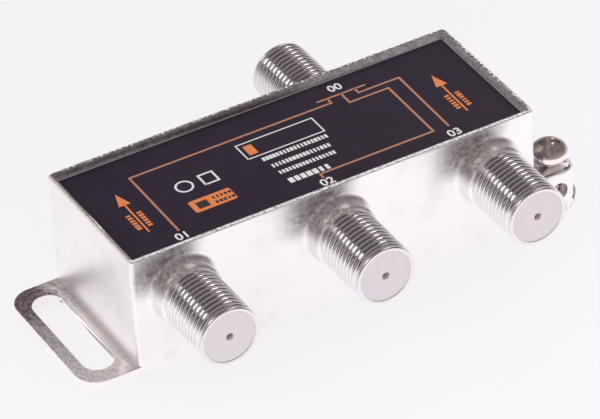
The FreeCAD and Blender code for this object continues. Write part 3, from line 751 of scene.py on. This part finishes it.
# Name, ink, middle, turn, rows, columns, row step, column step, dash height
DASHES = (
    ("first_row", "white", (0.4, -0.2), 0, 1, 19, 1.0, 0.57, 0.86),
    ("second_row", "white", (0.2, -2.3), 0, 1, 17, 1.0, 0.57, 0.86),
    ("third_row", "white", (0.1, -4.25), 0, 1, 17, 1.0, 0.55, 0.82),
    ("type_row", "white", (-0.95, -6.75), 0, 1, 7, 1.0, 0.98, 1.2),
    ("plate_rows", "dark", (-13.9, -4.8), 0, 2, 5, 1.2, 0.65, 0.6),
    ("left_arrow_dashes", "marks", (-26.6, -3.2), 90, 2, 6, 1.75, 0.68, 0.75),
    ("right_arrow_dashes", "marks", (25.9, -3.1), 90, 2, 6, 1.75, 0.68, 0.75),
)


def flat_print(name, outlines, finish, lift=0.012):
    """Printed shapes on the film from closed outlines."""
    work = bmesh.new()
    for outline in outlines:
        raise_outline(work, outline, FILM_Z - SINK, FILM_Z + lift)
    add_piece(name, mesh_from(work, name), finish)


def lay_on_film(name, mesh, finish, spot, turn=0):
    """Turn a mesh made about the origin, and lay it on the film as a piece."""
    where = Matrix.Translation((spot[0] * MM, spot[1] * MM, (FILM_Z + MARK_LIFT) * MM))
    mesh.transform(where @ Matrix.Rotation(math.radians(turn), 4, "Z"))
    add_piece(name, mesh, finish)


def stroke(points, width):
    """The mitred outline of a line of so much width, as quads from joint to joint."""
    points = [Vector(point) for point in points]
    ways = [(after - before).normalized() for before, after in zip(points, points[1:])]
    sides = []
    for point, first, second in zip(points, ways[:1] + ways, ways + ways[-1:]):
        normal = (Vector((-first.y, first.x)) + Vector((-second.y, second.x))).normalized()
        reach = width / 2 / normal.dot(Vector((-first.y, first.x)))
        sides.append((tuple(point + normal * reach), tuple(point - normal * reach)))
    return [[left, right, next_right, next_left]
            for (left, right), (next_left, next_right) in zip(sides, sides[1:])]


def round_box(centre, half_x, half_y, radius, steps=6):
    """The outline of a rectangle with round corners."""
    corners = []
    for sign_x, sign_y, start in ((1, 1, 0), (-1, 1, 90), (-1, -1, 180), (1, -1, 270)):
        middle = (centre[0] + sign_x * (half_x - radius), centre[1] + sign_y * (half_y - radius))
        corners += bend(start, start + 90, steps, middle, (radius, radius))
    return corners


def arrow(tail, tip, shaft=0.28, head_width=1.85, head_length=3.0):
    """An arrow's outline from its tail to its tip."""
    start, end = Vector(tail), Vector(tip)
    ahead = (end - start).normalized()
    side = Vector((-ahead.y, ahead.x))
    neck = end - ahead * head_length
    half, wide = side * shaft / 2, side * head_width / 2
    outline = (start - half, neck - half, neck - wide, end, neck + wide, neck + half, start + half)
    return [tuple(point) for point in outline]


def number_mesh(text, height):
    """A numeral laid flat and centred on the origin; the height is in metres."""
    curve = bpy.data.curves.new("numeral", "FONT")
    curve.body = text
    curve.size = height
    curve.align_x, curve.align_y = "CENTER", "CENTER"
    curve.extrude = 0.008 * MM
    curve.offset = 0.045 * MM
    return plain_mesh(placed("numeral", curve))


# Sizes and colours that a user would change

def length(name, description, default, least=0.0):
    """A setting for a length, given in millimetres."""
    return FloatProperty(name=name, description=description, subtype="DISTANCE",
                         default=default * MM, min=least * MM)


def colour(name, description, default):
    """A setting for a colour."""
    return FloatVectorProperty(name=name, description=description, subtype="COLOR",
                               default=default, min=0, max=1)


class SPLITTER_PG_finish(bpy.types.PropertyGroup):
    """Colours and polish."""

    plate_colour: colour("Plate", "Colour of the nickel plate", (0.97, 0.94, 0.95))
    wall_roughness: FloatProperty(
        name="Wall roughness", description="How dull the casting's walls are", subtype="FACTOR",
        default=0.34, min=0, max=1)
    wall_wave: length("Wall wave", "Height of the soft waves in the walls", 0.02)
    film_colour: colour("Film", "Colour of the label film", (0.027, 0.018, 0.031))
    plug_colour: colour("Plugs", "Colour of the plastic plugs", (0.78, 0.71, 0.745))


class SPLITTER_PG_thread(bpy.types.PropertyGroup):
    """The ports' thread."""

    spacing: length("Spacing", "Distance from crest to crest", 0.917, 0.1)
    crest: length("Crest", "Radius over the crests", 4.75, 1)
    depth: length("Depth", "Depth from crest to root", 0.46)
    start: length("Start", "Where the thread starts, from the wall", 2.8)
    end: length("End", "Where the thread ends, from the wall", 13.0)


class SPLITTER_PG_print(bpy.types.PropertyGroup):
    """The print on the film."""

    line_width: length("Line width", "Width of the circuit's lines", 0.36, 0.05)
    line_colour: colour("Lines", "Colour of the circuit's lines", (0.45, 0.19, 0.115))
    mark_colour: colour("Marks", "Colour of the arrows and the plate", (0.70, 0.20, 0.05))
    number_height: length("Number height", "Height of the ports' numbers", 2.2, 0.5)


class SPLITTER_PG_stage(bpy.types.PropertyGroup):
    """Camera and light."""

    lens: FloatProperty(
        name="Lens", description="Focal length on a 36 mm sensor", subtype="DISTANCE_CAMERA",
        default=303.12, min=10)
    roll: FloatProperty(
        name="Roll", description="Camera's roll", subtype="ANGLE", default=math.radians(-3.467))
    lamp_strength: FloatProperty(
        name="Lamp strength", description="Radiance of the two lamps", default=2.2, min=0)
    sky_strength: FloatProperty(
        name="Sky strength", description="Level of the light from all round", default=0.95, min=0)
    burr_seed: IntProperty(
        name="Burr seed", description="Seed of the rim's burr", default=7, min=0)


# Operators

class SPLITTER_OT_finish_nodes(bpy.types.Operator):
    """Give every CAD node that stays visible its finish"""

    bl_idname = "splitter.finish_nodes"
    bl_label = "Finish the plain pieces"

    def execute(self, context):
        finishes = slot_finishes(context.scene.splitter_finish)
        for part in frame["record"]["subparts"]:
            slot = part["material_slot"]
            if slot in REPLACED_SLOTS:
                continue
            if slot not in finishes:
                raise RuntimeError("no finish for the material slot " + slot)
            mesh = NODES[part["node"]].data
            mesh.materials.clear()
            mesh.materials.append(finishes[slot])
        return {"FINISHED"}


class SPLITTER_OT_cast_housing(bpy.types.Operator):
    """The casting without its barrels, closed where they join"""

    bl_idname = "splitter.cast_housing"
    bl_label = "Casting"

    def execute(self, context):
        work = bmesh.new()
        work.from_mesh(NODES["housing"].data)
        bmesh.ops.remove_doubles(work, verts=work.verts, dist=2 * WELD * MM)
        outside = [vert for vert in work.verts if abs(vert.co.y) > (WALL_Y + 0.05) * MM]
        bmesh.ops.delete(work, geom=outside, context="VERTS")
        open_edges = [edge for edge in work.edges if edge.is_boundary]
        foot_reach = 8.5 * MM
        for name in PORTS:
            centre = port_matrix(name).translation
            near = [edge for edge in open_edges if (edge.verts[0].co - centre).length < foot_reach]
            if not near:
                raise RuntimeError("the casting has no opening at the port " + name)
            bmesh.ops.bridge_loops(work, edges=near)
        mesh = mesh_from(work, "casting")
        marks = mesh.attributes.new("lug_top", "FLOAT", "FACE")
        lug_top = 2 * MM
        for face, mark in zip(mesh.polygons, marks.data):
            mark.value = float(face.normal.z > 0.9 and face.center.z < lug_top)
        finish = casting_finish(context.scene.splitter_finish)
        add_piece("casting", mesh, finish, replaces=("housing",), smooth_below=28)
        return {"FINISHED"}


class SPLITTER_OT_turn_ports(bpy.types.Operator):
    """The four barrels, each a collar with a small fillet and a threaded sleeve"""

    bl_idname = "splitter.turn_ports"
    bl_label = "Ports"

    def execute(self, context):
        settings = context.scene.splitter_thread
        smooth = bpy.data.materials["nickel_casting"]
        cut = thread_finish(context.scene.splitter_finish.plate_colour)
        profile = barrel_profile(settings.start / MM, settings.end / MM)
        tree = thread_tree()
        values = {"Start": settings.start, "End": settings.end, "Pitch": settings.spacing,
                  "Crest": settings.crest, "Root": settings.crest - settings.depth,
                  "Bore": (BORE + 0.4) * MM, "Fade": 0.45 * MM, "Wobble": 0.02 * MM,
                  "Around": 120, "Along": 150}
        for name in PORTS:
            place = port_matrix(name)
            collar = mesh_from(spin_closed(profile, 120), "collar")
            collar.transform(place)
            add_piece("port_collar_" + name, collar, smooth, smooth_below=40)
            cut_thread(tree, "port_thread_" + name, place, cut, values)
        return {"FINISHED"}


class SPLITTER_OT_raise_burr(bpy.types.Operator):
    """The torn bead along the rim round the label"""

    bl_idname = "splitter.raise_burr"
    bl_label = "Rim burr"

    def execute(self, context):
        finish = rim_finish(context.scene.splitter_finish)
        inset, corner = 0.3, 0.45
        outline = round_box((0, 0), BODY_X - inset, WALL_Y - inset, corner)
        work = bmesh.new()
        verts = new_ring(work, outline, TOP_Z - 0.02)
        for number, vert in enumerate(verts):
            work.edges.new((verts[number - 1], vert))
        path = bpy.data.meshes.new("rim_path")
        work.to_mesh(path)
        work.free()
        values = {"Step": 0.09 * MM, "Width": 0.5 * MM, "Height": 0.14 * MM, "Tear": 0.26 * MM,
                  "Back tear": 0.12 * MM, "Seed": float(context.scene.splitter_stage.burr_seed),
                  "Finish": finish}
        mesh = run_tree(burr_tree(), "rim_burr", values, path)
        add_piece("rim_burr", welded(mesh), finish, smooth_below=50)
        return {"FINISHED"}


class SPLITTER_OT_print_label(bpy.types.Operator):
    """The circuit, arrows, numbers and plain marks printed on the film"""

    bl_idname = "splitter.print_label"
    bl_label = "Print"

    def execute(self, context):
        settings = context.scene.splitter_print
        lines = ink_finish("ink_lines", settings.line_colour, 0.5)
        inks = {
            "marks": ink_finish("ink_marks", settings.mark_colour, 0.25),
            "white": ink_finish("ink_white", (0.72, 0.69, 0.70), 0.3),
            "dark": ink_finish("ink_dark", (0.035, 0.025, 0.03), 0.2),
        }
        backing = ink_finish("film_backing", (0.34, 0.295, 0.33), 0.4)
        marks, white = inks["marks"], inks["white"]
        width = settings.line_width / MM
        circuit = [quad for points in CIRCUIT for quad in stroke(points, width)]
        flat_print("circuit_lines", circuit, lines)
        flat_print("arrows", [arrow(tail, tip) for tail, tip in ARROWS], marks)
        flat_print("rating_plate", [round_box((-15.6, -4.75), 3.35, 1.45, 0.35)], marks)
        flat_print("rating_plate_marks", [PLATE_MARK], inks["dark"], lift=0.02)
        flat_print("blank_plate", stroke(BLANK_PLATE, 0.22), white)
        flat_print("blank_plate_bar", [round_box((-5.2, 2.9), 0.7, 1.2, 0.1)], marks)
        circle = bend(0, 360, 40, (-17.4, 0.35), (1.25, 1.25))
        flat_print("plain_symbols", stroke(circle, 0.32) + stroke(SQUARE, 0.32), white)
        for text, spot in NUMBERS.items():
            mesh = number_mesh(text, settings.number_height)
            lay_on_film("port_number_" + text, mesh, white, spot)
        width = 0.18
        outline = round_box((0, 0), FILM_X - width / 2, FILM_Y - width / 2, 0.3)
        flat_print("film_edge", stroke(outline + outline[:1], width), backing)
        tree = dash_tree()
        for seed, (name, ink, spot, turn, rows, columns, step_y, step_x, high) in enumerate(DASHES):
            values = {"Rows": rows, "Columns": columns, "Row step": step_y * MM,
                      "Column step": step_x * MM, "Dash height": high * MM,
                      "Thickness": 0.02 * MM, "Seed": seed, "Finish": inks[ink]}
            lay_on_film(name, run_tree(tree, name, values), inks[ink], spot, turn)
        return {"FINISHED"}


class SPLITTER_OT_turn_screw(bpy.types.Operator):
    """The earth screw: a domed head with its slots, and a threaded shank"""

    bl_idname = "splitter.turn_screw"
    bl_label = "Earth screw"

    def execute(self, context):
        dome_height, head_height = 1.55, 2.65
        finish = screw_finish(SCREW_HIGH.z / MM - dome_height)
        centre = (SCREW_LOW + SCREW_HIGH) / 2
        foot = Matrix.Translation((centre.x, centre.y, SCREW_LOW.z))
        top = (SCREW_HIGH.z - SCREW_LOW.z) / MM
        under = top - head_height
        head = self.slotted_head(top, under, finish)
        head.transform(foot @ Matrix.Rotation(math.radians(60), 4, "Z"))
        add_piece("earth_screw_head", head, body="screw", replaces=("ground_screw",),
                  smooth_below=30)
        values = {"Start": 0.0, "End": (under - 0.25) * MM, "Pitch": 0.5 * MM,
                  "Crest": 1.5 * MM, "Root": 1.22 * MM, "Bore": 0.3 * MM, "Fade": 0.4 * MM,
                  "Wobble": 0.0, "Around": 48, "Along": 110}
        cut_thread(thread_tree(), "earth_screw_shank", foot, finish, values, "screw")
        return {"FINISHED"}

    def slotted_head(self, top, under, finish):
        """The domed head about Z, between two heights, with a dull slot and cross arm."""
        neck, shoulder, flat, crown = 1.25, 2.35, 0.9, 0.57
        profile = [(0.0, under - 0.6), (neck, under - 0.6), (neck, under), (shoulder, under)]
        profile += bend(270, 360, 6, (shoulder, under + 0.42), (0.45, 0.42))
        profile += bend(0, 59, 10, (flat, under + 0.7), (1.9, 1.716))
        profile += bend(50, 90, 10, (crown, under + 0.65), (2.0, 2.0)) + [(0.0, top)]
        head = placed("screw_head_blank", mesh_from(spin_closed(profile, 96), "head"))
        half, long, short, floor, reach = 0.39, 3.2, 1.6, top - 0.95, 2.75
        plus = [(long, -half), (long, half), (half, half), (half, short), (-half, short),
                (-half, half), (-long, half), (-long, -half), (-half, -half), (-half, -short),
                (half, -short), (half, -half)]
        cut = bmesh.new()
        raise_outline(cut, plus, floor, floor + 2)
        cutter = placed("cutter", mesh_from(cut, "cutter"))
        boolean = head.modifiers.new("slot", "BOOLEAN")
        boolean.operation = "DIFFERENCE"
        boolean.object = cutter
        mesh = plain_mesh(head)
        bpy.data.objects.remove(cutter)
        mesh.materials.clear()
        mesh.materials.append(finish)
        mesh.materials.append(plain_finish("screw_slot", (0.30, 0.235, 0.20), (0.46, 0.385, 0.34),
                                           2.0, 0.6, 0.0004, {"Metallic": 0.25}))
        for face in mesh.polygons:
            inside = face.center.xy.length < reach * MM and face.center.z > (floor - 0.01) * MM
            level = face.center.z < (floor + 0.01) * MM
            face.material_index = int(inside and (abs(face.normal.z) < 0.05 or level))
        return mesh


class SPLITTER_OT_set_stage(bpy.types.Operator):
    """Floor, lamps, soft sky and the camera"""

    bl_idname = "splitter.set_stage"
    bl_label = "Stage"

    def execute(self, context):
        settings = context.scene.splitter_stage
        scene = context.scene
        self.lay_floor()
        self.hang_lamps(settings.lamp_strength)
        self.paint_sky(scene, settings.sky_strength)
        eye = Vector((-272.854, -518.988, 442.114)) * MM
        aim = Vector((-0.694, -2.68, 10.0)) * MM
        camera = placed("camera", bpy.data.cameras.new("camera"))
        camera.data.lens = settings.lens
        camera.data.sensor_width = 36.0
        camera.data.clip_end = 20.0
        turned = (aim - eye).to_track_quat("-Z", "Y").to_matrix().to_4x4()
        roll = Matrix.Rotation(settings.roll, 4, "Z")
        camera.matrix_world = Matrix.Translation(eye) @ turned @ roll
        scene.camera = camera
        scene.view_settings.view_transform = "Standard"
        return {"FINISHED"}

    def lay_floor(self):
        """A wide pale floor that keeps a soft shadow, clear from below."""
        work = bmesh.new()
        bmesh.ops.create_grid(work, x_segments=1, y_segments=1, size=3.0)
        floor = placed("floor", mesh_from(work, "floor"))
        finish = Finish("floor_paper", {"Roughness": 0.9, "Specular IOR Level": 0.0})
        paper = (0.955, 0.938, 0.962)
        x, y, _ = finish.split()
        # Painted shade: the floor grows darker towards the back
        far = finish.smooth(y, -60.0, 60.0)
        grain = finish.noise(0.3, 2, 0.5)
        colour = finish.mix(finish.clamp(far + 0.1 * (grain - 0.5)), paper, tint(paper, 0.935))
        camera, glossy, through = finish.rays("Camera", "Glossy", "Transmission")
        gone = finish.smooth(finish.length(x, y), 160.0, 520.0)
        # Painted light in mirrors: the floor glows brighter in front of the part, dimmer to the back
        # and fading far off
        level = 1 + glossy * (0.20 - 0.2 * far - 0.75 * gone)
        glow = finish.make("ShaderNodeEmission", {}, {"Color": finish.scaled(colour, level)})
        seen = finish.clamp(camera + glossy + through) * 0.9
        sockets = {0: seen, 1: finish.get(finish.shader), 2: glow}
        upper = finish.make("ShaderNodeMixShader", {}, sockets)
        below = finish.make("ShaderNodeNewGeometry", output="Backfacing")
        sockets = {0: below, 1: upper, 2: finish.make("ShaderNodeBsdfTransparent")}
        sided = finish.make("ShaderNodeMixShader", {}, sockets)
        finish.tree.links.new(sided.socket, finish.output.inputs["Surface"])
        floor.data.materials.append(finish.feed(Base_Color=colour))

    def hang_lamps(self, strength):
        """Two soft boxes behind the part, whose rows of lights show on the threads."""
        lamps = (
            ("left_lamp", Vector((-0.575, 0.53, 0.622)), 0.27, 0.95),
            ("right_lamp", Vector((0.512, 0.56, 0.652)), 0.19, 0.80),
        )
        along = Vector((-0.439, -0.702, 0.561))
        for name, way, width, height in lamps:
            lamp = placed(name, bpy.data.lights.new(name, "AREA"))
            lamp.data.shape = "RECTANGLE"
            lamp.data.size, lamp.data.size_y = width, height
            lamp.data.energy = strength * math.pi * width * height
            back = way.normalized()
            up = (along - along.dot(back) * back).normalized()
            turn = Matrix((up.cross(back), up, back)).transposed().to_4x4()
            lamp.matrix_world = Matrix.Translation(way) @ turn

    def paint_sky(self, scene, strength):
        """Soft light from all round; mirrors see a dim room above the white table."""
        world = bpy.data.worlds.new("studio")
        world.use_nodes = True
        scene.world = world
        graph = Graph(world.node_tree)
        graph.tree.nodes.clear()
        camera, glossy = graph.rays("Camera", "Glossy")
        _, y, z = graph.split(graph.make("ShaderNodeTexCoord", output="Generated"))
        stops = [(0.0, (0.72, 0.68, 0.69)), (0.10, (0.32, 0.28, 0.29)),
                 (0.26, (0.10, 0.075, 0.082)), (0.45, (0.055, 0.037, 0.044)),
                 (0.76, (0.055, 0.037, 0.044)), (1.0, (0.16, 0.14, 0.145))]
        room = graph.make("ShaderNodeValToRGB", {"stops": stops}, {0: z})
        near = graph.mix(graph.smooth(z, 0.30, 0.62), (0.50, 0.455, 0.44), (0.22, 0.19, 0.19))
        room = graph.mix(graph.smooth(y, -0.2, -0.8), room, near)
        soft = graph.mix(glossy, (strength,) * 3, room)
        colour = graph.mix(camera, soft, (0.94, 0.925, 0.95))
        sky = graph.make("ShaderNodeBackground", {}, {"Color": colour, "Strength": 1.0})
        graph.node("ShaderNodeOutputWorld", {}, {"Surface": sky})


class SPLITTER_PT_panel(bpy.types.Panel):
    """The splitter's pieces, in the order they are built"""

    bl_idname = "SPLITTER_PT_panel"
    bl_label = "Coaxial splitter"
    bl_space_type = "VIEW_3D"
    bl_region_type = "UI"
    bl_category = "Splitter"

    def draw(self, context):
        for name, group in GROUPS:
            column = self.layout.column(heading=group.__doc__)
            for setting in group.__annotations__:
                column.prop(getattr(context.scene, name), setting)
        for operator in OPERATORS:
            self.layout.operator(operator.bl_idname)


GROUPS = (
    ("splitter_finish", SPLITTER_PG_finish),
    ("splitter_thread", SPLITTER_PG_thread),
    ("splitter_print", SPLITTER_PG_print),
    ("splitter_stage", SPLITTER_PG_stage),
)
OPERATORS = (
    SPLITTER_OT_set_stage,
    SPLITTER_OT_finish_nodes,
    SPLITTER_OT_cast_housing,
    SPLITTER_OT_turn_ports,
    SPLITTER_OT_raise_burr,
    SPLITTER_OT_print_label,
    SPLITTER_OT_turn_screw,
)


def register():
    """Register the classes and hang the settings on the scene."""
    for name, group in GROUPS:
        bpy.utils.register_class(group)
        setattr(bpy.types.Scene, name, PointerProperty(type=group))
    for operator in OPERATORS:
        bpy.utils.register_class(operator)
    bpy.utils.register_class(SPLITTER_PT_panel)


def unregister():
    """Undo register."""
    bpy.utils.unregister_class(SPLITTER_PT_panel)
    for operator in reversed(OPERATORS):
        bpy.utils.unregister_class(operator)
    for name, group in reversed(GROUPS):
        delattr(bpy.types.Scene, name)
        bpy.utils.unregister_class(group)


def main():
    """Build everything and write the two boxes' corners."""
    register()
    for operator in OPERATORS:
        group, name = operator.bl_idname.split(".")
        getattr(getattr(bpy.ops, group), name)()


if __name__ == "__main__":
    main()
